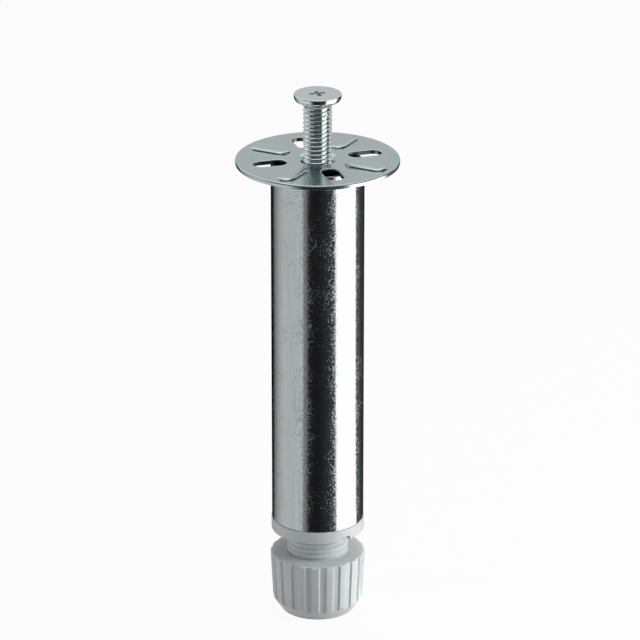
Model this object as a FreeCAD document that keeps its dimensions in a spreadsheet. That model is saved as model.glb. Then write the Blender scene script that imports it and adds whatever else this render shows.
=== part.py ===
import FreeCAD, Part
import os

import Sketcher
from FreeCAD import Placement, Rotation, Vector

# Adjustable cabinet leg: a stamped plate on a steel tube, with a moulded plug and a screw-in levelling foot.
# The origin is the centre of the foot's base, +Z runs up the leg, and sizes are millimetres and degrees.

sizes = {
    # stamped plate
    "plate_diameter": 56.0,
    "plate_thickness": 1.5,
    "plate_rim_chamfer": 0.45,
    "slot_count": 4,
    "slot_centre_radius": 16.9,
    "slot_length": 11.6,
    "slot_width": 5.8,
    "bead_angle": 45.0,
    "bead_centre_radius": 18.2,
    "bead_length": 14.6,
    "bead_width": 5.4,
    "bead_height": 1.1,
    "bead_slope": 38.0,
    "bead_crown_chamfer": 0.5,
    "dent_inset": 0.7,
    "dent_depth": 1.0,
    # collar drawn down from the plate for the fixing screw
    "collar_depth": 9.0,
    "collar_wall": 1.7,
    "collar_roll": 2.7,
    # tube
    "tube_diameter": 32.0,
    "tube_wall": 1.2,
    "tube_length": 131.0,
    "tube_edge_chamfer": 0.25,
    # moulded plug in the tube's lower end
    "flange_overhang": 0.25,
    "flange_height": 4.4,
    "flange_edge_chamfer": 0.4,
    "barrel_length": 34.0,
    "barrel_wall": 1.9,
    "crush_rib_count": 8,
    "crush_rib_width": 1.6,
    "crush_rib_clearance": 0.05,
    "notch_angle": -69.5,
    "notch_width": 3.6,
    "notch_height": 1.5,
    # levelling foot
    "foot_height": 21.6,
    "foot_gap": 9.0,
    "grip_overhang": 0.6,
    "grip_lean": 0.85,
    "grip_edge_chamfer": 0.55,
    "groove_count": 20,
    "groove_angle": 7.1,
    "groove_width": 2.88,
    "groove_depth": 0.6,
    "groove_draft": 25.0,
    "base_diameter": 25.6,
    "base_height": 4.5,
    "base_edge_chamfer": 0.5,
    "core_diameter": 20.0,
    "core_depth": 15.0,
    "stem_diameter": 21.6,
    "stem_clearance": 0.1,
    "stem_length": 32.0,
    "stem_wall": 3.4,
    "stem_chamfer": 1.2,
    # fixing screw
    "screw_diameter": 9.9,
    "screw_clearance": 0.1,
    "screw_length": 28.0,
    "screw_entry": 7.5,
    "tip_chamfer": 1.4,
    "neck_diameter": 8.6,
    "neck_length": 1.2,
    "head_diameter": 16.2,
    "head_height": 2.7,
    "head_edge_chamfer": 0.4,
    "head_under_chamfer": 1.4,
    "recess_span": 5.6,
    "recess_width": 1.4,
    "recess_depth": 1.8,
}

touch = 1e-4

doc = FreeCAD.newDocument("cabinet_leg")
sheet = doc.addObject("Spreadsheet::Sheet", "Sizes")
for row, (alias, size) in enumerate(sizes.items(), 1):
    sheet.set(f"A{row}", alias)
    sheet.set(f"B{row}", str(size))
    sheet.setAlias(f"B{row}", alias)
doc.recompute()

# Heights of the pieces above the floor, each from the pieces below it
flange_level = "Sizes.foot_height + Sizes.foot_gap"
tube_level = flange_level + " + Sizes.flange_height"
plate_level = tube_level + " + Sizes.tube_length"
screw_level = plate_level + " + Sizes.plate_thickness - Sizes.screw_entry"

# A cut runs this far past the face that it leaves by
past = "1"

# Radii that two pieces share
collar_bore = "(Sizes.screw_diameter / 2 + Sizes.screw_clearance)"
plug_bore = "(Sizes.stem_diameter / 2 + Sizes.stem_clearance)"
tube_bore = "(Sizes.tube_diameter / 2 - Sizes.tube_wall)"


def value(expression):
    return float(sheet.evalExpression(expression))


def new_body(label, level):
    body = doc.addObject("PartDesign::Body", label)
    body.Label = label
    body.setExpression("Placement.Base.z", level)
    return body


def origin_feature(body, role):
    return next(feature for feature in body.Origin.OriginFeatures if feature.Role == role)


# A sketch on one of the body's own origin planes, lifted along the plane's normal and turned about it
def new_sketch(body, name, role, lift=None, turn=None):
    sketch = body.newObject("Sketcher::SketchObject", name)
    sketch.AttachmentSupport = [(origin_feature(body, role), "")]
    sketch.MapMode = "FlatFace"
    if lift:
        sketch.setExpression("AttachmentOffset.Base.z", lift)
    if turn:
        sketch.AttachmentOffset = Placement(Vector(), Rotation(Vector(0, 0, 1), value(turn)))
        sketch.setExpression("AttachmentOffset.Rotation.Angle", turn)
    return sketch


# Ties one point of the sketch to the sketch's origin
def pin(sketch, geometry, point, across, up):
    for kind, expression, axis in (("DistanceX", across, -2), ("DistanceY", up, -1)):
        distance = value(expression)
        if abs(distance) < touch:
            sketch.addConstraint(Sketcher.Constraint("PointOnObject", geometry, point, axis))
            continue
        index = sketch.addConstraint(Sketcher.Constraint(kind, -1, 1, geometry, point, distance))
        name = f"{kind}_{geometry}_{point}"
        sketch.renameConstraint(index, name)
        sketch.setExpression("Constraints." + name, expression)


# A closed outline of straight lines through the given corners
def outline(sketch, corners):
    points = [Vector(value(across), value(up), 0) for across, up in corners]
    following = points[1:] + points[:1]
    lines = [Part.LineSegment(start, end) for start, end in zip(points, following)]
    first = sketch.addGeometry(lines, False)[0]
    for index, (across, up) in enumerate(corners):
        neighbour = (index + 1) % len(corners)
        sketch.addConstraint(Sketcher.Constraint("Coincident", first + index, 2, first + neighbour, 1))
        pin(sketch, first + index, 1, across, up)


# A round-ended outline along the sketch's X axis
def round_ended(sketch, centre, length, width):
    reach = f"(({length}) - ({width})) / 2"
    inner, outer, radius = value(f"{centre} - {reach}"), value(f"{centre} + {reach}"), value(f"({width}) / 2")
    right = Part.ArcOfCircle(Part.Circle(Vector(outer, 0, 0), Vector(0, 0, 1), radius), -1.5707963, 1.5707963)
    left = Part.ArcOfCircle(Part.Circle(Vector(inner, 0, 0), Vector(0, 0, 1), radius), 1.5707963, 4.7123890)
    top = Part.LineSegment(Vector(outer, radius, 0), Vector(inner, radius, 0))
    low = Part.LineSegment(Vector(inner, -radius, 0), Vector(outer, -radius, 0))
    sketch.addGeometry([right, top, left, low], False)
    for one, other in ((0, 1), (1, 2), (2, 3), (3, 0)):
        sketch.addConstraint(Sketcher.Constraint("Tangent", one, 2, other, 1))
    sketch.addConstraint(Sketcher.Constraint("Equal", 0, 2))
    pin(sketch, 0, 3, f"{centre} + {reach}", "0")
    pin(sketch, 2, 3, f"{centre} - {reach}", "0")
    index = sketch.addConstraint(Sketcher.Constraint("Radius", 0, radius))
    sketch.renameConstraint(index, "end_radius")
    sketch.setExpression("Constraints.end_radius", f"({width}) / 2")


def revolve(body, name, corners):
    sketch = new_sketch(body, name + "_profile", "XZ_Plane")
    outline(sketch, corners)
    turned = body.newObject("PartDesign::Revolution", name)
    turned.Profile = sketch
    turned.ReferenceAxis = (sketch, ["V_Axis"])
    turned.Angle = 360
    doc.recompute()
    return turned


# Copies of a feature round the body's own axis
def round_pattern(body, feature, count):
    pattern = body.newObject("PartDesign::PolarPattern", feature.Name + "_pattern")
    pattern.Originals = [feature]
    pattern.Axis = (origin_feature(body, "Z_Axis"), [""])
    pattern.Angle = 360
    pattern.setExpression("Occurrences", count)
    body.Tip = pattern
    doc.recompute()
    return pattern


# Names of the circular edges of a radius at a height
def rings(feature, radius, height):
    names = []
    for index, edge in enumerate(feature.Shape.Edges, 1):
        curve = edge.Curve
        if not isinstance(curve, Part.Circle):
            continue
        if abs(curve.Radius - value(radius)) < touch and abs(curve.Center.z - value(height)) < touch:
            names.append(f"Edge{index}")
    return names


def dress(body, kind, name, feature, edges, size):
    if not edges:
        raise RuntimeError(f"{name} finds no edge")
    dressed = body.newObject("PartDesign::" + kind, name)
    dressed.Base = (feature, edges)
    dressed.setExpression({"Fillet": "Radius", "Chamfer": "Size"}[kind], size)
    doc.recompute()
    return dressed


# A cut has to take material away, or it points the wrong way
def check_cut(before, after):
    if after.Shape.Volume > before.Shape.Volume - touch:
        raise RuntimeError(f"{after.Name} cuts nothing")


# Mounting plate: a disc with a plunged collar, pressed beads and slots
def make_plate():
    plate = new_body("mounting_plate", plate_level)
    rim = "Sizes.plate_diameter / 2"
    top = "Sizes.plate_thickness"
    mouth = "Sizes.plate_thickness - Sizes.collar_depth"
    collar_outside = collar_bore + " + Sizes.collar_wall"
    disc = revolve(plate, "disc", [
        (collar_bore, top),
        (rim, top),
        (rim, "0"),
        (collar_outside, "0"),
        (collar_outside, mouth),
        (collar_bore, mouth),
    ])
    rolled = dress(plate, "Fillet", "collar_roll", disc, rings(disc, collar_bore, top), "Sizes.collar_roll")
    dress(plate, "Chamfer", "rim_edge", rolled, rings(rolled, rim, top), "Sizes.plate_rim_chamfer")

    bead_sketch = new_sketch(plate, "bead_outline", "XY_Plane", top, "Sizes.bead_angle")
    round_ended(bead_sketch, "Sizes.bead_centre_radius", "Sizes.bead_length", "Sizes.bead_width")
    bead = plate.newObject("PartDesign::Pad", "bead")
    bead.Profile = bead_sketch
    bead.setExpression("Length", "Sizes.bead_height")
    bead.setExpression("TaperAngle", "-Sizes.bead_slope")
    doc.recompute()
    beads = round_pattern(plate, bead, "Sizes.slot_count")
    crown = value("Sizes.plate_thickness + Sizes.bead_height")
    crown_edges = []
    for index, edge in enumerate(beads.Shape.Edges, 1):
        if all(abs(vertex.Z - crown) < touch for vertex in edge.Vertexes):
            crown_edges.append(f"Edge{index}")
    crowned = dress(plate, "Chamfer", "bead_crown", beads, crown_edges, "Sizes.bead_crown_chamfer")

    dent_sketch = new_sketch(plate, "dent_outline", "XY_Plane", None, "Sizes.bead_angle")
    dent_length = "Sizes.bead_length - 2 * Sizes.dent_inset"
    dent_width = "Sizes.bead_width - 2 * Sizes.dent_inset"
    round_ended(dent_sketch, "Sizes.bead_centre_radius", dent_length, dent_width)
    dent = plate.newObject("PartDesign::Pocket", "dent")
    dent.Profile = dent_sketch
    dent.Reversed = True
    dent.setExpression("Length", "Sizes.dent_depth")
    doc.recompute()
    check_cut(crowned, dent)
    dents = round_pattern(plate, dent, "Sizes.slot_count")

    slot_sketch = new_sketch(plate, "slot_outline", "XY_Plane", top)
    round_ended(slot_sketch, "Sizes.slot_centre_radius", "Sizes.slot_length", "Sizes.slot_width")
    slot = plate.newObject("PartDesign::Pocket", "slot")
    slot.Profile = slot_sketch
    slot.setExpression("Length", "Sizes.plate_thickness + " + past)
    doc.recompute()
    check_cut(dents, slot)
    round_pattern(plate, slot, "Sizes.slot_count")
    return plate


# Leg tube: its upper end meets the plate's underside
def make_tube():
    tube = new_body("leg_tube", tube_level)
    outside = "Sizes.tube_diameter / 2"
    length = "Sizes.tube_length"
    wall = revolve(tube, "tube_wall", [
        (tube_bore, "0"),
        (outside, "0"),
        (outside, length),
        (tube_bore, length),
    ])
    dress(tube, "Chamfer", "cut_edge", wall, rings(wall, outside, "0"), "Sizes.tube_edge_chamfer")
    return tube


# Tube plug: a flange under the tube's cut edge and a ribbed barrel inside it
def make_plug():
    plug = new_body("tube_plug", flange_level)
    flange = "(Sizes.tube_diameter / 2 + Sizes.flange_overhang)"
    barrel = plug_bore + " + Sizes.barrel_wall"
    shoulder = "Sizes.flange_height"
    top = "Sizes.flange_height + Sizes.barrel_length"
    turned = revolve(plug, "plug_body", [
        (plug_bore, "0"),
        (flange, "0"),
        (flange, shoulder),
        (barrel, shoulder),
        (barrel, top),
        (plug_bore, top),
    ])
    dress(plug, "Chamfer", "flange_edge", turned, rings(turned, flange, "0"), "Sizes.flange_edge_chamfer")

    rib_sketch = new_sketch(plug, "crush_rib_outline", "XY_Plane", shoulder)
    crest = tube_bore + " - Sizes.crush_rib_clearance"
    half_width = "Sizes.crush_rib_width / 2"
    root = plug_bore + " + Sizes.barrel_wall / 2"
    outline(rib_sketch, [
        (root, "-" + half_width),
        (crest, "-" + half_width),
        (crest, half_width),
        (root, half_width),
    ])
    rib = plug.newObject("PartDesign::Pad", "crush_rib")
    rib.Profile = rib_sketch
    rib.setExpression("Length", "Sizes.barrel_length")
    doc.recompute()
    ribs = round_pattern(plug, rib, "Sizes.crush_rib_count")

    notch_sketch = new_sketch(plug, "notch_outline", "XY_Plane", None, "Sizes.notch_angle")
    half_notch = "Sizes.notch_width / 2"
    outline(notch_sketch, [
        (f"{plug_bore} - {past}", "-" + half_notch),
        (f"{flange} + {past}", "-" + half_notch),
        (f"{flange} + {past}", half_notch),
        (f"{plug_bore} - {past}", half_notch),
    ])
    notch = plug.newObject("PartDesign::Pocket", "notch")
    notch.Profile = notch_sketch
    notch.Reversed = True
    notch.setExpression("Length", "Sizes.notch_height")
    doc.recompute()
    check_cut(ribs, notch)
    return plug


# One end of a grip groove: a flat floor between walls that lean outwards
def groove_section(foot, name, level, crest):
    sketch = new_sketch(foot, name, "XY_Plane", level, "Sizes.groove_angle")
    lean = "tan(Sizes.groove_draft)"
    floor_half = f"(Sizes.groove_width / 2 - Sizes.groove_depth * {lean})"
    mouth_half = f"(Sizes.groove_width / 2 + {past} * {lean})"
    outline(sketch, [
        (f"{crest} - Sizes.groove_depth", "-" + floor_half),
        (f"{crest} + {past}", "-" + mouth_half),
        (f"{crest} + {past}", mouth_half),
        (f"{crest} - Sizes.groove_depth", floor_half),
    ])
    return sketch


# Levelling foot: a ribbed grip on a smooth base cone, with a hollow stem
def make_foot():
    foot = new_body("levelling_foot", "0")
    base = "Sizes.base_diameter / 2"
    grip_top = "(Sizes.tube_diameter / 2 + Sizes.grip_overhang)"
    grip_low = f"({grip_top} - Sizes.grip_lean)"
    stem = "Sizes.stem_diameter / 2"
    core = "Sizes.core_diameter / 2"
    bore = "Sizes.stem_diameter / 2 - Sizes.stem_wall"
    base_top = "Sizes.base_height"
    shoulder = "Sizes.foot_height"
    tip = "Sizes.foot_height + Sizes.stem_length"
    turned = revolve(foot, "foot_body", [
        (core, "0"),
        (base, "0"),
        (grip_low, base_top),
        (grip_top, shoulder),
        (stem, shoulder),
        (stem, tip),
        ("0", tip),
        ("0", tip + " - Sizes.stem_wall"),
        (bore, tip + " - Sizes.stem_wall"),
        (bore, "Sizes.core_depth"),
        (core, "Sizes.core_depth"),
    ])
    based = dress(foot, "Chamfer", "base_edge", turned, rings(turned, base, "0"), "Sizes.base_edge_chamfer")
    grip_edge = rings(based, grip_top, shoulder)
    edged = dress(foot, "Chamfer", "grip_edge", based, grip_edge, "Sizes.grip_edge_chamfer")
    tipped = dress(foot, "Chamfer", "stem_lead", edged, rings(edged, stem, tip), "Sizes.stem_chamfer")

    # grooves start level with the middle of the cone, outside it, and so run out on it
    taper = f"Sizes.grip_lean / ({shoulder} - {base_top})"
    crest_low = f"({grip_low} - {taper} * {base_top} / 2)"
    groove_low = groove_section(foot, "groove_low", f"{base_top} / 2", crest_low)
    groove_top = groove_section(foot, "groove_top", f"{shoulder} + {past}", grip_top)
    groove = foot.newObject("PartDesign::SubtractiveLoft", "groove")
    groove.Profile = groove_low
    groove.Sections = [groove_top]
    groove.Ruled = True
    doc.recompute()
    check_cut(tipped, groove)
    round_pattern(foot, groove, "Sizes.groove_count")
    return foot


# Fixing screw: started in the plate's collar, with its tip below the plate's top
def make_screw():
    screw = new_body("fixing_screw", screw_level)
    shank = "Sizes.screw_diameter / 2"
    neck = "Sizes.neck_diameter / 2"
    head = "Sizes.head_diameter / 2"
    under = "Sizes.screw_length"
    top = "Sizes.screw_length + Sizes.head_height"
    turned = revolve(screw, "screw_body", [
        ("0", "0"),
        (shank, "0"),
        (shank, "Sizes.screw_length - Sizes.neck_length"),
        (neck, "Sizes.screw_length - Sizes.neck_length"),
        (neck, under),
        (head, under),
        (head, top),
        ("0", top),
    ])
    tipped = dress(screw, "Chamfer", "tip_lead", turned, rings(turned, shank, "0"), "Sizes.tip_chamfer")
    low_edge = rings(tipped, head, under)
    bevel = dress(screw, "Chamfer", "head_under", tipped, low_edge, "Sizes.head_under_chamfer")
    edged = dress(screw, "Chamfer", "head_edge", bevel, rings(bevel, head, top), "Sizes.head_edge_chamfer")

    recess_sketch = new_sketch(screw, "recess_outline", "XY_Plane", top)
    span = "Sizes.recess_span / 2"
    half = "Sizes.recess_width / 2"
    outline(recess_sketch, [
        (span, half), (half, half), (half, span), ("-" + half, span), ("-" + half, half), ("-" + span, half),
        ("-" + span, "-" + half), ("-" + half, "-" + half), ("-" + half, "-" + span), (half, "-" + span),
        (half, "-" + half), (span, "-" + half),
    ])
    recess = screw.newObject("PartDesign::Pocket", "recess")
    recess.Profile = recess_sketch
    recess.setExpression("Length", "Sizes.recess_depth")
    doc.recompute()
    check_cut(edged, recess)
    return screw


pieces = [make_plate(), make_tube(), make_plug(), make_foot(), make_screw()]
doc.recompute()

for item in doc.Objects:
    if "Invalid" in item.State or "Error" in item.State:
        raise RuntimeError(f"{item.Name} failed: {item.State}")
for piece in pieces:
    if piece.Shape.isNull() or not piece.Shape.isValid():
        raise RuntimeError(f"{piece.Label} has no valid shape")

os.makedirs("parts", exist_ok=True)
for piece in pieces:
    piece.Shape.exportStep(f"parts/{piece.Label}.step")
    print(piece.Label, "solids", len(piece.Shape.Solids), "volume", round(piece.Shape.Volume, 1))
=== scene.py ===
import bmesh
import bpy
import math
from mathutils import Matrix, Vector


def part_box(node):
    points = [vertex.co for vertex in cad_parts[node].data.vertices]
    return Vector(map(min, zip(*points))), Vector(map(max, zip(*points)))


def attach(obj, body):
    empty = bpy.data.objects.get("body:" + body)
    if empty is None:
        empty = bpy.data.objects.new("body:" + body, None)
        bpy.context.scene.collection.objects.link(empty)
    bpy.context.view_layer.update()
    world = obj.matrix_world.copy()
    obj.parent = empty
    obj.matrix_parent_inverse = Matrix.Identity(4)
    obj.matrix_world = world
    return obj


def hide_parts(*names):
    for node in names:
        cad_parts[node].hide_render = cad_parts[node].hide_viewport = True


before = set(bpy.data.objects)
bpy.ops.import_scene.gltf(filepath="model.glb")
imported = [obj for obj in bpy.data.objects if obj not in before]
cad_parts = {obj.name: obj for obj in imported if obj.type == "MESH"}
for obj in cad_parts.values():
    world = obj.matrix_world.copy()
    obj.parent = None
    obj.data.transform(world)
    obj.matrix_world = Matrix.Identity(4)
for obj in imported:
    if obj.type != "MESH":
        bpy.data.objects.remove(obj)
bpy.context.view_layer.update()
mm = 0.001  # the script works in millimetres and writes metres


# a CAD node's lowest and highest corner, in millimetres
def boxOf(node):
    low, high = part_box(node)
    return low / mm, high / mm


plateLow, plateHigh = boxOf("mounting_plate")
tubeLow, tubeHigh = boxOf("leg_tube")
plugLow, plugHigh = boxOf("tube_plug")
footLow, footHigh = boxOf("levelling_foot")
screwLow, screwHigh = boxOf("fixing_screw")
print("frame: leg", round(plateHigh.z, 1), "mm to the plate, screw top at", round(screwHigh.z, 1), "mm")


# sRGB hex to the linear colour that a shader takes
def linear(hexColour):
    parts = [int(hexColour[i:i + 2], 16) / 255 for i in (1, 3, 5)]
    return [c / 12.92 if c <= 0.04045 else ((c + 0.055) / 1.055) ** 2.4 for c in parts] + [1.0]


# Mesh making

meshing = {
    "weld": 0.0005,        # mm, points closer than this become one
    "smallest": 0.0002,    # mm, edges shorter than this go
    "capPoint": 0.0001,    # mm, radius at which a closed end stops
    "sharpAngle": 35,      # edges that turn more than this stay hard
}


def evenAngles(count):
    return [2 * math.pi * i / count for i in range(count)]


# corners (radius, height, rounding) become a line with an arc at each rounded corner
def roundedLine(corners, steps=6):
    line = []
    for k, (r, z, rounding) in enumerate(corners):
        here = Vector((r, z))
        if not rounding:
            line.append(here)
            continue
        back = (Vector(corners[k - 1][:2]) - here).normalized()
        ahead = (Vector(corners[(k + 1) % len(corners)][:2]) - here).normalized()
        half = back.angle(ahead) / 2
        centre = here + (back + ahead).normalized() * rounding / math.sin(half)
        start = here + back * rounding / math.tan(half) - centre
        end = here + ahead * rounding / math.tan(half) - centre
        line += [centre + start.slerp(end, s / steps) * rounding for s in range(steps + 1)]
    return line


# joins rows of points into quads; every row is a closed loop
def skin(bm, rows, closed=False):
    loops = [[bm.verts.new(Vector(point) * mm) for point in row] for row in rows]
    pairs = list(zip(loops, loops[1:]))
    if closed:
        pairs.append((loops[-1], loops[0]))
    for one, other in pairs:
        for i in range(len(one)):
            k = (i + 1) % len(one)
            bm.faces.new((one[i], one[k], other[k], other[i]))
    return loops


# turns a line of (radius, height) about the leg's axis; shape may alter each point by its angle
def turned(line, angles, shape=None):
    rows = []
    for r, z in line:
        row = []
        for angle in angles:
            radius, height = shape(r, z, angle) if shape else (r, z)
            row.append((radius * math.cos(angle), radius * math.sin(angle), height))
        rows.append(row)
    return rows


# closes a turned end at this height, from its edge nearly to the axis
def capEnd(bm, radius, height, angles):
    line = [(radius, height), (radius / 2, height), (meshing["capPoint"], height)]
    skin(bm, turned(line, angles))


# a screw thread: rows climb one pitch in a turn, and the last column meets the first one pitch higher;
# its profile lists shares of a pitch with their radius, and fades to endRadius at both ends
def cutThread(bm, turns, low, high, columns, endRadius, shape=None):
    pitch = turns["pitch"]
    profile = turns["profile"]
    rowsPerTurn = len(profile)
    spareTurns = 3  # the rows begin below the thread and end above it
    rowCount = rowsPerTurn * (int((high - low) / pitch) + spareTurns)
    grid = []
    for j in range(rowCount):
        share, radius = profile[j % rowsPerTurn]
        row = []
        for i in range(columns):
            angle = 2 * math.pi * i / columns
            z = low - pitch + pitch * (j // rowsPerTurn + share + i / columns)
            fade = max(0.0, min(1.0, min(z - low, high - z) / turns["runOut"]))
            r = endRadius + (radius - endRadius) * fade
            z = max(low, min(high, z))
            if shape:
                r = shape(r, z)
            row.append(bm.verts.new(Vector((r * math.cos(angle), r * math.sin(angle), z)) * mm))
        grid.append(row)
    for j in range(rowCount - 1):
        for i in range(columns):
            k = (i + 1) % columns
            climb = rowsPerTurn if k == 0 else 0
            if j + 1 + climb < rowCount:
                bm.faces.new((grid[j][i], grid[j + climb][k], grid[j + 1 + climb][k], grid[j + 1][i]))


# a round-ended loop along the line at this angle from the axis, with the same points whatever its size
def roundEnded(centreRadius, length, width, angle, height, sides=10, ends=18):
    reach = (length - width) / 2
    points = []
    for end, turn in ((1, -90), (-1, 90)):
        for s in range(ends + 1):
            a = math.radians(turn + 180 * s / ends)
            points.append((end * reach + width / 2 * math.cos(a), width / 2 * math.sin(a)))
        points += [(end * reach * (1 - 2 * s / sides), end * width / 2) for s in range(1, sides)]
    ca, sa = math.cos(angle), math.sin(angle)
    return [((x + centreRadius) * ca - y * sa, (x + centreRadius) * sa + y * ca, height) for x, y in points]


# fills the flat between closed loops that lie at one height
def fillBetween(bm, loops):
    edges = []
    for loop in loops:
        verts = [bm.verts.new(Vector(point) * mm) for point in loop]
        edges += [bm.edges.new((verts[i], verts[(i + 1) % len(verts)])) for i in range(len(verts))]
    bmesh.ops.triangle_fill(bm, use_beauty=True, use_dissolve=False, edges=edges)


# welds the mesh, shades it smooth and hands it to the frame
def makePiece(name, bm, material, body, sharp=meshing["sharpAngle"]):
    bmesh.ops.remove_doubles(bm, verts=bm.verts, dist=meshing["weld"] * mm)
    bmesh.ops.dissolve_degenerate(bm, edges=bm.edges, dist=meshing["smallest"] * mm)
    bmesh.ops.recalc_face_normals(bm, faces=bm.faces)
    mesh = bpy.data.meshes.new(name)
    bm.to_mesh(mesh)
    bm.free()
    mesh.shade_smooth()
    mesh.set_sharp_from_angle(angle=math.radians(sharp))
    mesh.materials.append(material)
    piece = bpy.data.objects.new(name, mesh)
    bpy.context.scene.collection.objects.link(piece)
    weighting = piece.modifiers.new("evenShading", "WEIGHTED_NORMAL")
    weighting.keep_sharp = True
    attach(piece, body)
    print("made", name, len(mesh.polygons), "faces")
    return piece


# Materials

# adds a node with its settings and links; an input is a plain value or another node's output,
# and goes by its name, or by its number as in3 does
def addNode(tree, kind, settings=None, **inputs):
    node = tree.nodes.new("ShaderNode" + kind)
    for key, setting in (settings or {}).items():
        setattr(node, key, setting)
    for key, source in inputs.items():
        numbered = key.startswith("in") and key[2:].isdigit()
        socket = node.inputs[int(key[2:]) if numbered else key.replace("_", " ")]
        if isinstance(source, bpy.types.NodeSocket):
            tree.links.new(source, socket)
        else:
            socket.default_value = source
    return node


def newMaterial(name):
    material = bpy.data.materials.new(name)
    material.use_nodes = True
    tree = material.node_tree
    return material, tree, tree.nodes["Principled BSDF"]


# the texture scale at which one feature of the pattern is this many millimetres
def featureScale(size):
    return 1 / (size * mm)


noiseLow, noiseHigh = 0.3, 0.7  # levels that most of a noise lies between


# Chromium plated on a drawn steel tube: a near-mirror that gives hard-edged bands of light and dark,
# with faint lengthwise drawing lines, and scuffs and hairlines that show where it reflects the dark
chromeSettings = {
    "colour": "#C1C9CA",
    "dulled": "#B2BABB",         # where a scuff or a drawing line has dulled the plating
    "roughness": 0.045,
    "lineRoughening": 2.5,       # a drawing line is this much rougher
    "scuffRoughness": 0.34,
    "scuffGrain": 0.6,           # mm, grains of a scuff, coarser than real so that they show
    "grainRange": (0.53, 0.66),  # noise levels from no grain to a full one
    "scuffPatch": 8.0,           # mm, size of the patches that are scuffed
    "patchRange": (0.4, 0.66),
    "patchLeast": 0.5,           # scuffing between the patches
    "hairSpacing": 7.0,          # mm between hairline scratches
    "hairWidth": 0.06,           # mm
    "hairRange": (0.56, 0.6),    # patch levels where hairlines begin
    "lineWidth": 0.4,            # mm, drawing lines
    "lineLength": 30.0,          # mm
    "lineRange": (0.45, 0.8),
    "streakRange": (0.45, 0.75),
    "waveSize": 9.0,             # mm, slow unevenness of the drawn wall
    "waveBump": (0.04, 0.2),     # strength, and height in mm
    "lineBump": (0.03, 0.02),
    "markBump": (0.42, 0.06),
}


def chromedTube():
    material, tree, shader = newMaterial("chromedDrawnSteel")
    s = chromeSettings
    place = addNode(tree, "TexCoord").outputs["Object"]
    shader.inputs["Metallic"].default_value = 1.0

    # scuffs: fine grains, strong only where the patches are
    grains = addNode(tree, "TexNoise", Vector=place, Scale=featureScale(s["scuffGrain"]),
                     Detail=2.0, Roughness=0.7).outputs["Fac"]
    patches = addNode(tree, "TexNoise", Vector=place, Scale=featureScale(s["scuffPatch"]),
                      Detail=3.0).outputs["Fac"]
    low, high = s["grainRange"]
    grainMask = addNode(tree, "MapRange", Value=grains, in1=low, in2=high)
    low, high = s["patchRange"]
    patchMask = addNode(tree, "MapRange", Value=patches, in1=low, in2=high, in3=s["patchLeast"])
    scuff = addNode(tree, "Math", {"operation": "MULTIPLY"},
                    in0=grainMask.outputs["Result"], in1=patchMask.outputs["Result"])

    # hairlines: thin curves along the middle level of a noise, kept to a few short lengths
    curves = addNode(tree, "TexNoise", Vector=place, Scale=featureScale(s["hairSpacing"]), Detail=0.0)
    curve = addNode(tree, "Math", {"operation": "COMPARE"},
                    in0=curves.outputs["Fac"], in1=0.5, in2=s["hairWidth"] / s["hairSpacing"])
    low, high = s["hairRange"]
    lengths = addNode(tree, "MapRange", Value=patches, in1=low, in2=high)
    hair = addNode(tree, "Math", {"operation": "MULTIPLY"},
                   in0=curve.outputs["Value"], in1=lengths.outputs["Result"])
    marks = addNode(tree, "Math", {"operation": "MAXIMUM"},
                    in0=scuff.outputs["Value"], in1=hair.outputs["Value"]).outputs["Value"]

    # drawing lines, a noise stretched along the tube
    stretch = addNode(tree, "Mapping", Vector=place, Scale=(1, 1, s["lineWidth"] / s["lineLength"]))
    lines = addNode(tree, "TexNoise", Vector=stretch.outputs["Vector"],
                    Scale=featureScale(s["lineWidth"]), Detail=2.0).outputs["Fac"]
    low, high = s["lineRange"]
    lineRough = addNode(tree, "MapRange", Value=lines, in1=low, in2=high,
                        in3=s["roughness"], in4=s["roughness"] * s["lineRoughening"])
    rough = addNode(tree, "MapRange", Value=marks,
                    in3=lineRough.outputs["Result"], in4=s["scuffRoughness"])
    tree.links.new(rough.outputs["Result"], shader.inputs["Roughness"])

    low, high = s["streakRange"]
    streaks = addNode(tree, "MapRange", Value=lines, in1=low, in2=high)
    dulling = addNode(tree, "Math", {"operation": "MAXIMUM"}, in0=streaks.outputs["Result"], in1=marks)
    mixed = addNode(tree, "Mix", {"data_type": "RGBA"}, Factor=dulling.outputs["Value"],
                    in6=linear(s["colour"]), in7=linear(s["dulled"]))
    tree.links.new(mixed.outputs[2], shader.inputs["Base Color"])

    waves = addNode(tree, "TexNoise", Vector=place, Scale=featureScale(s["waveSize"]), Detail=1.0)
    strength, height = s["waveBump"]
    waveBump = addNode(tree, "Bump", Strength=strength, Distance=height * mm, Height=waves.outputs["Fac"])
    strength, height = s["lineBump"]
    lineBump = addNode(tree, "Bump", Strength=strength, Distance=height * mm, Height=lines,
                       Normal=waveBump.outputs["Normal"])
    strength, height = s["markBump"]
    markBump = addNode(tree, "Bump", Strength=strength, Distance=height * mm, Height=marks,
                       Normal=lineBump.outputs["Normal"])
    tree.links.new(markBump.outputs["Normal"], shader.inputs["Normal"])
    return material


# Zinc plated on pressed sheet: a soft grey metal sheen, cloudy from plating, a little uneven from the press
zincSettings = {
    "light": "#CAD6D7",
    "dark": "#BAC8CA",
    "roughness": (0.18, 0.25),
    "cloudSize": 7.0,         # mm
    "grainSize": 0.9,         # mm, rolling grain of the sheet, coarser than real so that it shows
    "grainBump": (0.02, 0.05),
    "waveSize": 11.0,         # mm
    "waveBump": (0.12, 0.3),  # strength, and height in mm
    "shearedWallShade": "#747C7B",     # slot walls that the punch has sheared, coloured darker than the rolled sheet: painted shade inside the slots
    "shearedRoughness": 0.3,
}


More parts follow.
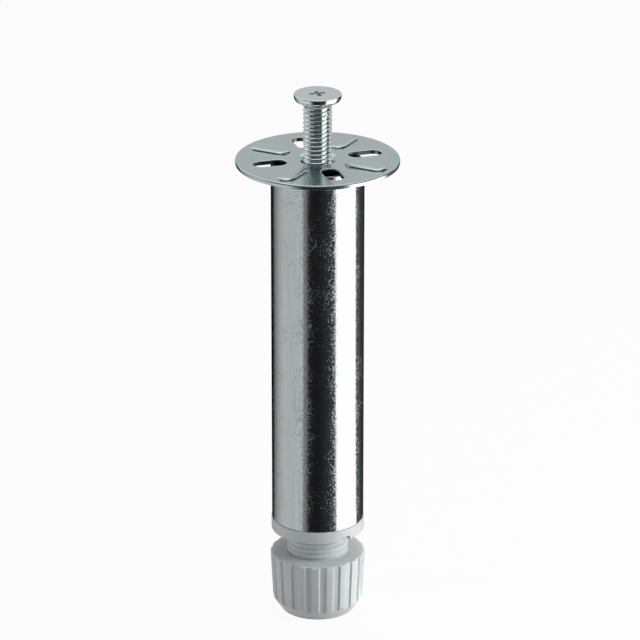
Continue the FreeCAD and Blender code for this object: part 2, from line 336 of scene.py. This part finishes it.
def platedSheet():
    material, tree, shader = newMaterial("zincPlatedPressedSteel")
    s = zincSettings
    place = addNode(tree, "TexCoord").outputs["Object"]
    shader.inputs["Metallic"].default_value = 1.0
    clouds = addNode(tree, "TexNoise", Vector=place, Scale=featureScale(s["cloudSize"]),
                     Detail=4.0, Roughness=0.6)
    mixed = addNode(tree, "Mix", {"data_type": "RGBA"}, Factor=clouds.outputs["Fac"],
                    in6=linear(s["dark"]), in7=linear(s["light"]))
    # the marked slot walls get painted shade, a darker colour standing in for the shade inside the slots,
    # and a rougher finish
    shearedWallShade = addNode(tree, "Attribute", {"attribute_name": "shearedWallShade"}).outputs["Fac"]
    coloured = addNode(tree, "Mix", {"data_type": "RGBA"}, Factor=shearedWallShade,
                       in6=mixed.outputs[2], in7=linear(s["shearedWallShade"]))
    tree.links.new(coloured.outputs[2], shader.inputs["Base Color"])

    grain = addNode(tree, "TexNoise", Vector=place, Scale=featureScale(s["grainSize"]),
                    Detail=3.0).outputs["Fac"]
    low, high = s["roughness"]
    smooth = addNode(tree, "MapRange", Value=grain, in1=noiseLow, in2=noiseHigh, in3=low, in4=high)
    rough = addNode(tree, "MapRange", Value=shearedWallShade,
                    in3=smooth.outputs["Result"], in4=s["shearedRoughness"])
    tree.links.new(rough.outputs["Result"], shader.inputs["Roughness"])

    waves = addNode(tree, "TexNoise", Vector=place, Scale=featureScale(s["waveSize"]), Detail=1.0)
    strength, height = s["waveBump"]
    waveBump = addNode(tree, "Bump", Strength=strength, Distance=height * mm, Height=waves.outputs["Fac"])
    strength, height = s["grainBump"]
    grainBump = addNode(tree, "Bump", Strength=strength, Distance=height * mm, Height=grain,
                        Normal=waveBump.outputs["Normal"])
    tree.links.new(grainBump.outputs["Normal"], shader.inputs["Normal"])
    return material


# Bright zinc on a cold-headed, thread-rolled screw: shinier and lighter than the sheet, faintly blue
boltSettings = {
    "light": "#E4EBEC",
    "dark": "#D5DEDF",
    "roughness": (0.10, 0.2),
    "cloudSize": 3.0,     # mm
    "bump": (0.05, 0.1),  # strength, and height in mm
}


def platedScrew():
    material, tree, shader = newMaterial("brightZincRolledSteel")
    s = boltSettings
    place = addNode(tree, "TexCoord").outputs["Object"]
    shader.inputs["Metallic"].default_value = 1.0
    clouds = addNode(tree, "TexNoise", Vector=place, Scale=featureScale(s["cloudSize"]),
                     Detail=5.0, Roughness=0.65).outputs["Fac"]
    mixed = addNode(tree, "Mix", {"data_type": "RGBA"}, Factor=clouds,
                    in6=linear(s["dark"]), in7=linear(s["light"]))
    tree.links.new(mixed.outputs[2], shader.inputs["Base Color"])
    low, high = s["roughness"]
    rough = addNode(tree, "MapRange", Value=clouds, in1=noiseLow, in2=noiseHigh, in3=low, in4=high)
    tree.links.new(rough.outputs["Result"], shader.inputs["Roughness"])
    strength, height = s["bump"]
    bump = addNode(tree, "Bump", Strength=strength, Distance=height * mm, Height=clouds)
    tree.links.new(bump.outputs["Normal"], shader.inputs["Normal"])
    return material


# Injection-moulded polypropylene in light grey: an even satin skin with the faint grain
# of a spark-eroded mould
plasticSettings = {
    "light": "#CDD1D1",
    "dark": "#C2C7C8",
    "ior": 1.49,
    "roughness": (0.36, 0.5),
    "flowSize": 14.0,           # mm
    "grainSize": 0.35,          # mm, mould grain, coarser than real so that it shows
    "grainBump": (0.08, 0.05),  # strength, and height in mm
}


def mouldedPlastic():
    material, tree, shader = newMaterial("mouldedGreyPolypropylene")
    s = plasticSettings
    place = addNode(tree, "TexCoord").outputs["Object"]
    shader.inputs["IOR"].default_value = s["ior"]
    flow = addNode(tree, "TexNoise", Vector=place, Scale=featureScale(s["flowSize"]), Detail=3.0)
    mixed = addNode(tree, "Mix", {"data_type": "RGBA"}, Factor=flow.outputs["Fac"],
                    in6=linear(s["dark"]), in7=linear(s["light"]))
    tree.links.new(mixed.outputs[2], shader.inputs["Base Color"])
    grain = addNode(tree, "TexNoise", Vector=place, Scale=featureScale(s["grainSize"]),
                    Detail=2.0).outputs["Fac"]
    low, high = s["roughness"]
    rough = addNode(tree, "MapRange", Value=grain, in1=noiseLow, in2=noiseHigh, in3=low, in4=high)
    tree.links.new(rough.outputs["Result"], shader.inputs["Roughness"])
    strength, height = s["grainBump"]
    bump = addNode(tree, "Bump", Strength=strength, Distance=height * mm, Height=grain)
    tree.links.new(bump.outputs["Normal"], shader.inputs["Normal"])
    return material


chrome = chromedTube()
zinc = platedSheet()
brightZinc = platedScrew()
plastic = mouldedPlastic()
print("materials made")


# Leg tube

tube = {
    "wall": 1.2,
    "cutEdge": 0.25,
    "columns": 256,
}


def makeTube():
    outside = tubeHigh.x
    inside = outside - tube["wall"]
    line = roundedLine([
        (inside, tubeLow.z, 0),
        (outside, tubeLow.z, tube["cutEdge"]),
        (outside, tubeHigh.z, 0),
        (inside, tubeHigh.z, 0),
    ], steps=4)
    bm = bmesh.new()
    skin(bm, turned(line, evenAngles(tube["columns"])), closed=True)
    piece = makePiece("legTube", bm, chrome, "leg")
    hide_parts("leg_tube")


makeTube()


# Mounting plate

plate = {
    "thickness": 1.5,
    "rimRound": 0.5,
    "lowRimRound": 0.12,
    "featureCount": 4,
    "slotCentre": 16.9,
    "slotLength": 11.6,
    "slotWidth": 5.8,
    "slotRoll": 0.35,       # pressed-over upper edge of a slot
    "rollTurns": (0, 0.4, 0.8, 1.2, math.pi / 2),  # radians at which the roll has a row
    "beadAngle": 45,
    "beadCentre": 18.5,
    "beadLength": 15.6,
    "beadWidth": 7.2,
    "beadHeight": 1.1,
    "beadSide": 60,         # slope of its sides
    "beadShoulder": 0.7,    # share of its height where the sides turn into the crown
    "beadRound": 1.0,
    "crownFlat": 0.15,      # share of its width that is flat in the middle of the crown
    "dentInset": 0.7,
    "dentDepth": 1.0,
    "collarWall": 1.7,
    "collarRoll": 2.7,
    "collarRoot": 1.2,
    "collarEdge": 0.25,
    "collarColumns": 96,
    "threadTop": 0.01,      # lies this far below the roll, so that the two rows stay apart
    "flatMargin": 0.3,      # flat strip round each feature, which keeps the sheet's shading even
    "columns": 192,
}

collarThread = {
    "pitch": 1.5,
    "depth": 0.5,
    "runOut": 0.3,
}


# loops of one pressed bead, from the flat round it up its side to the middle of its crown
def beadLoops(length, width, height, level, angle):
    p = plate
    half = width / 2
    wall = height * p["beadShoulder"]
    run = wall / math.tan(math.radians(p["beadSide"]))
    side = roundedLine([
        (half, 0, 0),
        (half - run, wall, p["beadRound"]),
        (half * p["crownFlat"], height, 0),
    ], steps=10)
    border = 2 * p["flatMargin"]
    loops = [roundEnded(p["beadCentre"], length + border, width + border, angle, level)]
    for reach, rise in side:
        inset = half - reach
        loops.append(roundEnded(p["beadCentre"], length - 2 * inset, width - 2 * inset, angle, level + rise))
    return loops


def makePlate():
    p = plate
    top = plateHigh.z - p["beadHeight"]
    under = top - p["thickness"]
    rim = plateHigh.x
    bore = screwBore()
    margin = p["flatMargin"]
    mouth = plateLow.z
    collarOutside = bore + p["collarWall"]
    quarter = 2 * math.pi / p["featureCount"]
    bm = bmesh.new()
    # mark for the slot walls, which the material paints darker as shade and makes rougher
    shearedWallShade = bm.verts.layers.float.new("shearedWallShade")

    # rim, from the flat top round to the flat underside
    rimLine = roundedLine([
        (rim - p["rimRound"] - margin, top, 0),
        (rim, top, p["rimRound"]),
        (rim, under, p["lowRimRound"]),
        (rim - p["lowRimRound"] - margin, under, 0),
    ])
    rimRows = turned(rimLine, evenAngles(p["columns"]))
    skin(bm, rimRows)

    # collar, from the flat top down its bore and back up its outside
    collarAngles = evenAngles(p["collarColumns"])
    threadTop = top - p["collarRoll"] - p["threadTop"]
    upper = roundedLine([
        (bore + p["collarRoll"] + margin, top, 0),
        (bore, top, p["collarRoll"]),
        (bore, threadTop, 0),
    ], steps=10)
    outer = roundedLine([
        (bore, mouth, 0),
        (collarOutside, mouth, p["collarEdge"]),
        (collarOutside, under, p["collarRoot"]),
        (collarOutside + p["collarRoot"] + margin, under, 0),
    ])
    upperRows = turned(upper, collarAngles)
    outerRows = turned(outer, collarAngles)
    skin(bm, upperRows)
    skin(bm, outerRows)
    deep = bore + collarThread["depth"]
    collarThread["profile"] = [(0, bore), (0.15, bore), (0.45, deep), (0.7, deep)]
    cutThread(bm, collarThread, mouth, threadTop, len(collarAngles), bore)

    topLoops = [rimRows[0], upperRows[0]]
    underLoops = [rimRows[-1], outerRows[-1]]
    for k in range(p["featureCount"]):
        # slot, its upper edge rolled over by the punch and the wall below it sheared
        angle = k * quarter
        roll = p["slotRoll"]
        spread = [(roll + margin, top)]
        for t in p["rollTurns"]:
            spread.append((roll * (1 - math.sin(t)), top - roll * (1 - math.cos(t))))
        spread += [(0, under), (margin, under)]
        slotRows = [
            roundEnded(p["slotCentre"], p["slotLength"] + 2 * out, p["slotWidth"] + 2 * out, angle, z)
            for out, z in spread
        ]
        slotRings = skin(bm, slotRows)
        # marks the sheared wall, which gets painted shade and a rougher finish
        for vert in slotRings[-3] + slotRings[-2]:
            vert[shearedWallShade] = 1.0
        topLoops.append(slotRows[0])
        underLoops.append(slotRows[-1])

        # bead on top and the dent that the press leaves under it
        angle += math.radians(p["beadAngle"])
        bead = beadLoops(p["beadLength"], p["beadWidth"], p["beadHeight"], top, angle)
        inset = 2 * p["dentInset"]
        dent = beadLoops(p["beadLength"] - inset, p["beadWidth"] - inset, p["dentDepth"], under, angle)
        for loops, flat in ((bead, topLoops), (dent, underLoops)):
            rings = skin(bm, loops)
            bm.faces.new(rings[-1])
            flat.append(loops[0])
    fillBetween(bm, topLoops)
    fillBetween(bm, underLoops)
    piece = makePiece("mountingPlate", bm, zinc, "leg")
    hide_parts("mounting_plate")


# Fixing screw

screw = {
    "headDiameter": 16.2,
    "headHeight": 2.7,
    "headEdge": 0.35,
    "headUnderRound": 1.7,
    "headBorder": 1.2,       # ring of even faces round the head's flat
    "shankDiameter": 9.9,
    "boreClearance": 0.1,
    "tipChamfer": 1.4,
    "recessSpan": 5.6,
    "recessWidth": 1.4,
    "recessDepth": 1.8,
    "recessDraft": 0.35,
    "recessNarrowing": 0.4,  # share of the draft that the arms' sides have
    "recessLip": 0.15,       # eased edge round the recess
    "recessLipDepth": 0.1,
    "recessMouth": 0.02,     # draft at the foot of the lip
    "columns": 96,
    "sharpAngle": 40,
}

screwThread = {
    "pitch": 1.5,
    "depth": 0.9,
    "crestEase": 0.05,
    "rootEase": 0.06,
    "runOut": 0.25,
}


def screwBore():
    return screw["shankDiameter"] / 2 + screw["boreClearance"]


# the cross of the recess, drawn in by an inset
def crossLoop(inset, height):
    span = screw["recessSpan"] / 2 - inset
    half = screw["recessWidth"] / 2 - inset * screw["recessNarrowing"]
    arm = [(span, -half), (span, half), (half, half)]
    loop = []
    for k in range(4):
        c, s = math.cos(k * math.pi / 2), math.sin(k * math.pi / 2)
        loop += [(x * c - y * s, x * s + y * c, height) for x, y in arm]
    return loop


def makeScrew():
    s = screw
    tip = screwLow.z
    top = screwHigh.z
    under = top - s["headHeight"]
    crest = s["shankDiameter"] / 2
    root = crest - screwThread["depth"]
    head = s["headDiameter"] / 2
    angles = evenAngles(s["columns"])
    bm = bmesh.new()

    headLine = roundedLine([
        (root, under, 0),
        (head, under, s["headUnderRound"]),
        (head, top, s["headEdge"]),
        (head - s["headBorder"], top, 0),
    ])
    headRows = turned(headLine, angles)
    skin(bm, headRows)
    recess = [
        crossLoop(-s["recessLip"], top),
        crossLoop(s["recessMouth"], top - s["recessLipDepth"]),
        crossLoop(s["recessDraft"], top - s["recessDepth"]),
    ]
    crossRings = skin(bm, recess)
    bm.faces.new(crossRings[-1])
    fillBetween(bm, [headRows[-1], recess[0]])

    # rolled thread, its tip chamfered
    crestSide = crest - screwThread["crestEase"]
    rootSide = root + screwThread["rootEase"]
    screwThread["profile"] = [
        (0, crestSide), (0.045, crest), (0.085, crest), (0.13, crestSide),
        (0.42, rootSide), (0.47, root), (0.66, root), (0.71, rootSide),
    ]
    tipRadius = crest - s["tipChamfer"]

    def tapered(r, z):
        return min(r, tipRadius + (z - tip))

    cutThread(bm, screwThread, tip, under, s["columns"], root, tapered)
    capEnd(bm, tipRadius, tip, angles)
    piece = makePiece("fixingScrew", bm, brightZinc, "screw", s["sharpAngle"])
    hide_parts("fixing_screw")


makePlate()
makeScrew()


# Tube plug

plug = {
    "flangeHeight": 4.4,
    "flangeEdge": 0.45,
    "flangeTopEase": 0.6,  # share of the flange's lower rounding that its upper edge has
    "boreDiameter": 21.8,
    "boreEdge": 0.3,
    "boreBorder": 1.5,     # ring of even faces round the bore
    "barrelWall": 1.9,
    "barrelEdge": 0.5,
    "ribCount": 8,
    "ribWidth": 1.6,
    "ribCrest": 14.75,     # radius that the crush ribs reach inside the tube
    "ribSlope": 0.05,      # share of its half width in which a rib's side rises
    "ribDepth": 0.6,       # mm, the outer part of the barrel that a rib carries out
    "ribReach": 0.01,      # small allowance where a rib's place is tested
    "notchAngle": -69.5,
    "notchWidth": 3.6,
    "notchHeight": 1.5,
    "notchSlope": 0.03,    # share of its half width on each side of the notch's edge
    "notchGap": 0.05,      # share of its half width that other columns keep from that edge
    "columnsPerRib": 30,
}


# signed turn from one angle to another
def turnBetween(a, b):
    return (a - b + math.pi) % (2 * math.pi) - math.pi


def makePlug():
    p = plug
    low, top = plugLow.z, plugHigh.z
    flange = plugHigh.x
    bore = p["boreDiameter"] / 2
    barrel = bore + p["barrelWall"]
    shoulder = low + p["flangeHeight"]
    line = roundedLine([
        (bore, low, p["boreEdge"]),
        (bore + p["boreBorder"], low, 0),
        (flange, low, p["flangeEdge"]),
        (flange, shoulder, p["flangeEdge"] * p["flangeTopEase"]),
        (barrel, shoulder, 0),
        (barrel, top, p["barrelEdge"]),
        (bore, top, p["boreEdge"]),
    ], steps=4)
    pitch = 2 * math.pi / p["ribCount"]
    notchAt = math.radians(p["notchAngle"])

    # columns stand at the edges of the ribs and of the notch, and away from these none lies too near
    half = p["ribWidth"] / 2 / p["ribCrest"]
    ribFoot = half * (1 + p["ribSlope"])
    halfNotch = p["notchWidth"] / 2 / flange
    steps = [-ribFoot, -half, half, ribFoot]
    steps += [pitch * (i + 0.5) / p["columnsPerRib"] for i in range(2, p["columnsPerRib"] - 2)]
    angles = [k * pitch + step for k in range(p["ribCount"]) for step in steps]
    gap = halfNotch * p["notchGap"]
    angles = [a for a in angles if abs(abs(turnBetween(a, notchAt)) - halfNotch) > gap]
    sides = (1 - p["notchSlope"], 1 + p["notchSlope"])
    angles += [notchAt + side * halfNotch * share for side in (-1, 1) for share in sides]
    angles = sorted(a % (2 * math.pi) for a in angles)

    # the barrel stands out at a rib, and the flange's lower edge is cut away at the notch
    def shape(r, z, angle):
        offset = abs(turnBetween(angle, 0) % pitch)
        offset = min(offset, pitch - offset)
        onBarrel = z > shoulder + p["ribReach"] and r > barrel - p["ribDepth"]
        if onBarrel and offset <= half * (1 + p["ribReach"]):
            r += p["ribCrest"] - barrel
        if abs(turnBetween(angle, notchAt)) < halfNotch and z < low + p["notchHeight"]:
            z = low + p["notchHeight"]
        return r, z

    bm = bmesh.new()
    skin(bm, turned(line, angles, shape), closed=True)
    piece = makePiece("tubePlug", bm, plastic, "leg")
    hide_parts("tube_plug")


makePlug()


# Levelling foot

foot = {
    "height": 21.6,
    "gripTop": 33.2,
    "gripLow": 31.5,
    "gripEdge": 0.6,
    "gripBorder": 2.6,     # ring of even faces round the grip's top
    "coneRound": 1.2,      # where the grip turns into the cone
    "coneSteps": 16,
    "coneFirst": 9,        # steps up the cone between which each has a row
    "coneLast": 13,
    "grooveCount": 20,
    "grooveAngle": 7.1,
    "grooveWidth": 2.88,
    "grooveDepth": 0.6,
    "grooveDraft": 40,
    "grooveCorner": 0.05,
    "grooveFloorAt": 0.45,  # mm from a groove's middle, an extra column
    "grooveCrestAt": 0.6,   # mm outside a groove, an extra column
    "base": 25.6,
    "baseHeight": 4.5,
    "baseEdge": 0.5,
    "core": 20.0,
    "coreDepth": 15.0,
    "coreEdge": 0.3,
    "stem": 21.6,
    "stemWall": 3.4,
    "stemChamfer": 1.2,
    "stemLining": 0.4,      # the stem's lining lies this far inside the thread's root
    "liningTop": 2.0,       # mm below the tip
    "boreTop": 2.5,         # mm below the tip
    "threadDepth": 0.85,
    "threadSink": 0.3,      # the thread starts this far below the grip's top
    "columns": 112,
}

stemThread = {
    "pitch": 2.0,
    "crestEase": 0.1,
    "rootEase": 0.08,
    "runOut": 0.5,
}


# half widths of a groove at its floor and at its mouth
def grooveHalves():
    mouth = foot["grooveWidth"] / 2
    return mouth - foot["grooveDepth"] * math.tan(math.radians(foot["grooveDraft"])), mouth


# how deep a groove is at a distance from its middle, with its corners eased
def grooveAt(distance):
    floorHalf, mouthHalf = grooveHalves()
    total = 0.0
    eases = (-1.0, -0.5, 0.0, 0.5, 1.0)
    for ease in eases:
        at = abs(distance) + ease * foot["grooveCorner"]
        total += max(0.0, min(1.0, (mouthHalf - at) / (mouthHalf - floorHalf)))
    return foot["grooveDepth"] * total / len(eases)


def makeFoot():
    f = foot
    low = footLow.z
    tip = footHigh.z
    shoulder = low + f["height"]
    coneTop = low + f["baseHeight"]
    gripTop, gripLow, base = f["gripTop"] / 2, f["gripLow"] / 2, f["base"] / 2
    stem = f["stem"] / 2
    root = stem - f["threadDepth"]
    core = f["core"] / 2
    bore = stem - f["stemWall"]
    lining = root - f["stemLining"]

    # rows lie close together on the cone, where the grooves run out
    steps = f["coneSteps"]
    cone = [
        (base + (gripLow - base) * k / steps, low + f["baseHeight"] * k / steps, 0)
        for k in range(f["coneFirst"], f["coneLast"] + 1)
    ]
    line = roundedLine([
        (core, low, f["coreEdge"]),
        (base, low, f["baseEdge"]),
        *cone,
        (gripLow, coneTop, f["coneRound"]),
        (gripTop, shoulder, f["gripEdge"]),
        (gripTop - f["gripBorder"], shoulder, 0),
        (lining, shoulder, 0),
        (lining, tip - f["liningTop"], 0),
        (bore, tip - f["boreTop"], 0),
        (bore, low + f["coreDepth"], 0),
        (core, low + f["coreDepth"], f["coreEdge"]),
    ])

    # columns stand close together at the corners of each groove
    period = 2 * math.pi / f["grooveCount"]
    phase = math.radians(f["grooveAngle"])
    floorHalf, mouthHalf = grooveHalves()
    ease = f["grooveCorner"]
    marks = [f["grooveFloorAt"], floorHalf - ease, floorHalf, floorHalf + ease]
    marks += [mouthHalf - ease, mouthHalf, mouthHalf + ease, mouthHalf + f["grooveCrestAt"]]
    offsets = [0] + [side * mark / gripTop for mark in marks for side in (-1, 1)] + [period / 2]
    angles = sorted(
        (phase + k * period + offset) % (2 * math.pi) for k in range(f["grooveCount"]) for offset in offsets
    )
    taper = (gripTop - gripLow) / (shoulder - coneTop)

    # a groove takes away all that stands beyond its floor
    def grooved(r, z, angle):
        if r > stem:
            offset = (angle - phase + period / 2) % period - period / 2
            r = min(r, gripLow + taper * (z - coneTop) - grooveAt(offset * gripTop))
        return r, z

    bm = bmesh.new()
    skin(bm, turned(line, angles, grooved), closed=True)

    # coarse moulded thread on the stem, its tip chamfered
    crestSide = stem - stemThread["crestEase"]
    rootSide = root + stemThread["rootEase"]
    stemThread["profile"] = [
        (0, crestSide), (0.07, stem), (0.4, stem), (0.47, crestSide),
        (0.64, rootSide), (0.71, root), (0.8, root), (0.87, rootSide),
    ]
    tipRadius = stem - f["stemChamfer"]

    def tapered(r, z):
        return min(r, tipRadius + (tip - z))

    cutThread(bm, stemThread, shoulder - f["threadSink"], tip, f["columns"], root, tapered)
    capEnd(bm, tipRadius, tip, evenAngles(f["columns"]))
    piece = makePiece("levellingFoot", bm, plastic, "foot")
    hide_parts("levelling_foot")


makeFoot()


# Stage

view = {
    "distance": 1400.0,
    "elevation": 21.7,
    "azimuth": -17.3,
    "frameWidth": 220.7,  # mm across the picture at the leg
    "aimHeight": 108.4,
    "aimRight": 0.81,
    "sensor": 36.0,
    "farthest": 50.0,     # metres
}


def makeCamera():
    v = view
    azimuth, elevation = math.radians(v["azimuth"]), math.radians(v["elevation"])
    back = Vector((
        math.sin(azimuth) * math.cos(elevation),
        -math.cos(azimuth) * math.cos(elevation),
        math.sin(elevation),
    ))
    right = Vector((math.cos(azimuth), math.sin(azimuth), 0))
    aim = Vector((0, 0, v["aimHeight"])) + right * v["aimRight"]
    lens = bpy.data.cameras.new("photoLens")
    lens.sensor_width = v["sensor"]
    lens.lens = v["sensor"] * v["distance"] / v["frameWidth"]
    lens.clip_end = v["farthest"]
    camera = bpy.data.objects.new("photoCamera", lens)
    camera.location = (aim + back * v["distance"]) * mm
    camera.rotation_euler = (-back).to_track_quat("-Z", "Y").to_euler()
    bpy.context.scene.collection.objects.link(camera)
    bpy.context.scene.camera = camera


# direction on the floor at an angle from the camera's side, positive to the picture's right
def stageDirection(angle):
    a = math.radians(view["azimuth"] + angle)
    return Vector((math.sin(a), -math.cos(a), 0))


floor = {
    "size": 6000.0,
    "colour": "#D8DADA",
    "roughness": 0.9,
    "whiteShare": 0.94,  # share of plain white in what is seen of the floor; the rest takes the shadow
}


def makeFloor():
    half = floor["size"] / 2 * mm
    corners = [(-half, -half, 0), (half, -half, 0), (half, half, 0), (-half, half, 0)]
    mesh = bpy.data.meshes.new("paperFloor")
    mesh.from_pydata(corners, [], [(0, 1, 2, 3)])
    sheet = bpy.data.objects.new("paperFloor", mesh)
    bpy.context.scene.collection.objects.link(sheet)
    material, tree, shader = newMaterial("whitePaperSweep")
    shader.inputs["Base Color"].default_value = linear(floor["colour"])
    shader.inputs["Roughness"].default_value = floor["roughness"]
    rays = addNode(tree, "LightPath").outputs
    mirrored = addNode(tree, "Math", {"operation": "MAXIMUM"},
                       in0=rays["Is Glossy Ray"], in1=rays["Is Transmission Ray"])
    seen = addNode(tree, "Math", {"operation": "MAXIMUM"},
                   in0=rays["Is Camera Ray"], in1=mirrored.outputs["Value"])
    share = addNode(tree, "Math", {"operation": "MULTIPLY"},
                    in0=seen.outputs["Value"], in1=floor["whiteShare"])
    glow = addNode(tree, "Emission", Color=(1, 1, 1, 1), Strength=1.0)
    both = addNode(tree, "MixShader", in0=share.outputs["Value"],
                   in1=shader.outputs["BSDF"], in2=glow.outputs["Emission"])
    tree.links.new(both.outputs["Shader"], tree.nodes["Material Output"].inputs["Surface"])
    mesh.materials.append(material)


# cards laid round the leg for its metal to mirror: start and end angle from the camera's side, and level
cards = {
    "leftFlag": (-180, -141, 0.004),
    "dimCard": (-129, -127, 0.28),
    "softCard": (-109, -107, 0.585),
    "greyCard": (-93, -53, 0.735),
    "paleCard": (-50, -38, 0.77),
    "edgeCard": (-34, -29, 0.26),
    "frontFlag": (-22, 2, 0.016),
    "greyFlag": (21, 22, 0.038),
    "dimFlag": (31, 32, 0.044),
    "softFlag": (36, 41, 0.062),
    "whiteCard": (47.5, 102.5, 2.4),
    "rightFlag": (108, 119, 0.08),
    "streakCard": (121, 123, 0.15),
    "rightEdge": (129, 147, 0.05),
    "farFlag": (152, 180, 0.02),
}

# cards that stand round the stage: start and end angle, low and high edge, level
walls = {
    "leftCard": (-120, -80, 0, 2600, 0.5),
    "frontFlag": (-78, -24, 0, 2600, 0.05),
    "frontWall": (-24, 40, 0, 2600, 0.11),
    "rightCard": (42, 98, 0, 600, 1.8),
    "rightHood": (40, 100, 600, 2600, 0.05),
    "rightFlag": (100, 128, 0, 2600, 0.05),
    "backWall": (132, 228, 0, 1150, 0.6),
}

cardShape = {
    "inner": 19.0,
    "outer": 1500.0,
    "lift": 0.3,
    "columns": 180,
    "wallColumns": 24,
}


# level of the cards at an angle, blended across the gaps between them
def cardLevel(angle):
    stops = []
    for start, end, level in cards.values():
        stops += [(start, level), (end, level)]
    for (a, one), (b, other) in zip(stops, stops[1:]):
        if a <= angle <= b:
            return one if b == a else one + (other - one) * (angle - a) / (b - a)
    return stops[-1][1]


# faces of a strip whose points lie in pairs, from this point on
def stripFaces(first, count):
    return [(k, k + 1, k + 3, k + 2) for k in range(first, first + 2 * count, 2)]


def makeCards():
    c = cardShape
    material = bpy.data.materials.new("studioCard")
    material.use_nodes = True
    tree = material.node_tree
    tree.nodes.remove(tree.nodes["Principled BSDF"])
    level = addNode(tree, "Attribute", {"attribute_name": "level"})
    glow = addNode(tree, "Emission", Color=level.outputs["Color"], Strength=1.0)
    tree.links.new(glow.outputs["Emission"], tree.nodes["Material Output"].inputs["Surface"])

    verts, levels = [], []
    for k in range(c["columns"] + 1):
        angle = -180 + 360 * k / c["columns"]
        way = stageDirection(angle)
        for reach in (c["inner"], c["outer"]):
            verts.append((way * reach + Vector((0, 0, c["lift"]))) * mm)
            levels.append(cardLevel(angle))
    faces = stripFaces(0, c["columns"])
    for start, end, low, high, tone in walls.values():
        faces += stripFaces(len(verts), c["wallColumns"])
        for k in range(c["wallColumns"] + 1):
            way = stageDirection(start + (end - start) * k / c["wallColumns"])
            for height in (low, high):
                verts.append((way * c["outer"] + Vector((0, 0, height))) * mm)
                levels.append(tone)
    mesh = bpy.data.meshes.new("studioCards")
    mesh.from_pydata(verts, [], faces)
    layer = mesh.color_attributes.new("level", "FLOAT_COLOR", "POINT")
    for k, tone in enumerate(levels):
        layer.data[k].color = (tone, tone, tone, 1)
    mesh.materials.append(material)
    sheet = bpy.data.objects.new("studioCards", mesh)
    bpy.context.scene.collection.objects.link(sheet)
    sheet.visible_camera = False
    sheet.visible_diffuse = False
    sheet.visible_transmission = False
    sheet.visible_shadow = False


# soft boxes: angle from the camera's side, height and distance, edge length, watts
lamps = {
    "keyBox": {"angle": 78, "height": 420, "distance": 900, "size": 700, "watts": 10.2},
    "fillBox": {"angle": -84, "height": 450, "distance": 1100, "size": 800, "watts": 4.0},
    "topBox": {"angle": 150, "height": 1300, "distance": 300, "size": 900, "watts": 6.2},
}

lampAim = 70  # mm above the floor

# levels of the white room: as a light, as background and where metal mirrors it above the cards
room = {
    "light": 0.15,
    "seen": 1.0,
    "mirrored": 1.12,
}


def makeLights():
    aim = Vector((0, 0, lampAim))
    for name, lamp in lamps.items():
        light = bpy.data.lights.new(name, "AREA")
        light.size = lamp["size"] * mm
        light.energy = lamp["watts"]
        box = bpy.data.objects.new(name, light)
        place = stageDirection(lamp["angle"]) * lamp["distance"] + Vector((0, 0, lamp["height"]))
        box.location = place * mm
        box.rotation_euler = (aim - place).to_track_quat("-Z", "Y").to_euler()
        box.visible_glossy = False  # the metal mirrors the cards and the room alone
        bpy.context.scene.collection.objects.link(box)

    world = bpy.data.worlds.new("paleRoom")
    world.use_nodes = True
    bpy.context.scene.world = world
    tree = world.node_tree
    rays = addNode(tree, "LightPath").outputs
    mirrored = addNode(tree, "Math", {"operation": "MAXIMUM"},
                       in0=rays["Is Glossy Ray"], in1=rays["Is Transmission Ray"])
    shown = addNode(tree, "MapRange", Value=rays["Is Camera Ray"], in3=room["light"], in4=room["seen"])
    glints = addNode(tree, "Math", {"operation": "MULTIPLY"},
                     in0=mirrored.outputs["Value"], in1=room["mirrored"])
    level = addNode(tree, "Math", {"operation": "MAXIMUM"},
                    in0=shown.outputs["Result"], in1=glints.outputs["Value"])
    sky = tree.nodes["Background"]
    sky.inputs["Color"].default_value = (1, 1, 1, 1)
    tree.links.new(level.outputs["Value"], sky.inputs["Strength"])


makeCamera()
makeFloor()
makeCards()
makeLights()
bpy.context.scene.view_settings.view_transform = "Standard"
print("stage set")
